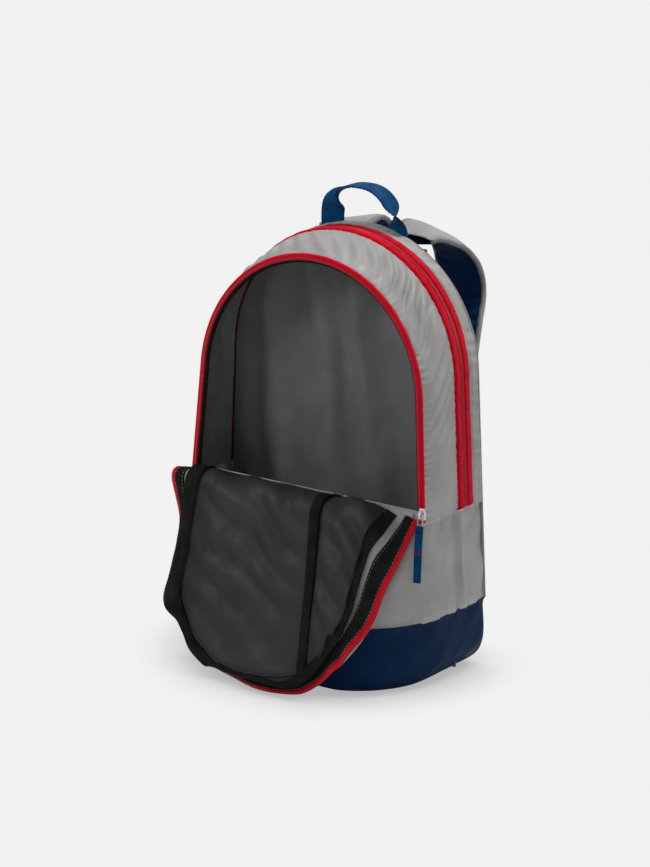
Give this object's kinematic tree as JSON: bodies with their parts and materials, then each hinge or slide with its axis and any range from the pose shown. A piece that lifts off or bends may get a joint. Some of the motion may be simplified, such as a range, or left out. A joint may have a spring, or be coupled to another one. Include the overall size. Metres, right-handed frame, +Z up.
{
  "type": "racket backpack",
  "caption": "Upright racket backpack with a drop-down front flap and organiser, arched main zip, padded shoulder straps and a haul loop.",
  "frame": {"origin": "centre of the base underside, on the ground", "axes": "+Z up, -Y towards the front flap, +Y towards the wearer, +X towards the right seen from the front"},
  "size_m": [0.314, 0.3074, 0.491],
  "materials": {
    "grey_polyester": "satin",
    "grey_binding": "matte",
    "navy_polyester": "matte",
    "navy_lining": "satin",
    "navy_webbing": "woven",
    "black_webbing": "woven",
    "black_binding": "ribbed",
    "black_nylon": "satin",
    "black_mesh": "open mesh",
    "foam": "matte",
    "red_zip_tape": "woven",
    "red_coil": "satin",
    "black_plastic": "matte",
    "slider_metal": "plated satin"
  },
  "bodies": {
    "bag": {"back_pad_left": "black_mesh", "back_pad_right": "black_mesh", "back_panel": "grey_polyester", "base_board": "black_plastic", "base_tub": "navy_polyester", "compartment_divider": "black_nylon", "fold_facing": "grey_polyester", "front_binding": "black_binding", "front_gusset": "grey_polyester", "front_zip_body_tape": "red_zip_tape", "lower_anchor_left": "black_webbing", "lower_anchor_right": "black_webbing", "lower_front_panel": "grey_polyester", "main_zip_chain": "red_coil", "main_zip_front_tape": "red_zip_tape", "main_zip_rear_tape": "red_zip_tape", "rear_gusset": "grey_polyester", "side_panel_left": "grey_polyester", "side_panel_right": "grey_polyester", "strap_yoke_left": "grey_polyester", "strap_yoke_right": "grey_polyester"},
    "flap_root": {"flap_root_panel": "grey_polyester", "flap_root_zip_edge": "red_zip_tape", "flap_root_tape": "black_binding"},
    "flap": {"flap_panel": "grey_polyester", "flap_zip_edge": "red_zip_tape", "flap_tape": "black_binding", "organiser_backing": "black_nylon", "organiser_edge_binding": "black_binding", "pocket_binding_strips": "black_binding", "large_pocket": "black_nylon", "small_pocket": "black_nylon"},
    "front_slider": {"front_slider": "slider_metal"},
    "front_puller": {"front_puller_ring": "slider_metal", "front_puller_tab": "navy_webbing"},
    "main_slider": {"main_slider": "slider_metal"},
    "main_puller": {"main_puller_ring": "slider_metal", "main_puller_tab": "navy_webbing"},
    "handle": {"haul_handle": "navy_webbing"},
    "strap_left": {"strap_outer_cover_left": "grey_polyester", "strap_foam_left": "foam", "strap_inner_cover_left": "navy_lining", "strap_binding_left": "grey_binding", "strap_webbing_left": "black_webbing", "ladder_lock_left": "black_plastic"},
    "strap_right": {"strap_outer_cover_right": "grey_polyester", "strap_foam_right": "foam", "strap_inner_cover_right": "navy_lining", "strap_binding_right": "grey_binding", "strap_webbing_right": "black_webbing", "ladder_lock_right": "black_plastic"}
  },
  "joints": [
    {"name": "flap_fold", "type": "hinge", "parent": "bag", "child": "flap_root", "pos_m": [0, -0.0765, 0.19], "axis": [-1, 0, 0], "range_deg": [0, 78.15]},
    {"name": "crest_fold", "type": "hinge", "parent": "flap_root", "child": "flap", "pos_m": [0, -0.11321, 0.19984], "axis": [-1, 0, 0], "range_deg": [0, 85.01]},
    {"name": "front_slider_travel", "type": "slide", "parent": "bag", "child": "front_slider", "axis": [-0.0715, 0.0548, 0.9959], "range_m": [0, 0.1]},
    {"name": "front_puller_swing", "type": "hinge", "parent": "front_slider", "child": "front_puller", "pos_m": [0.147, -0.08115, 0.18925], "axis": [-1, 0, 0], "range_deg": [0, 150]},
    {"name": "main_slider_travel", "type": "slide", "parent": "bag", "child": "main_slider", "axis": [0.0515, 0, 0.9987], "range_m": [0, 0.115]},
    {"name": "main_puller_swing", "type": "hinge", "parent": "main_slider", "child": "main_puller", "pos_m": [-0.1529, 0, 0.19224], "axis": [0, 1, 0], "range_deg": [0, 150]},
    {"name": "handle_flop", "type": "hinge", "parent": "bag", "child": "handle", "pos_m": [0, 0.029, 0.446], "axis": [-1, 0, 0], "range_deg": [-45, 45]},
    {"name": "strap_left_swing", "type": "hinge", "parent": "bag", "child": "strap_left", "pos_m": [-0.047, 0.0312, 0.424], "axis": [-0.1706, 0, -0.9853], "range_deg": [-15, 15]},
    {"name": "strap_right_swing", "type": "hinge", "parent": "bag", "child": "strap_right", "pos_m": [0.047, 0.0312, 0.424], "axis": [0.1706, 0, -0.9853], "range_deg": [-15, 15]}
  ],
  "couplings": [
    {"joint": "crest_fold", "follows": "flap_fold", "ratio": 1.0877}
  ]
}
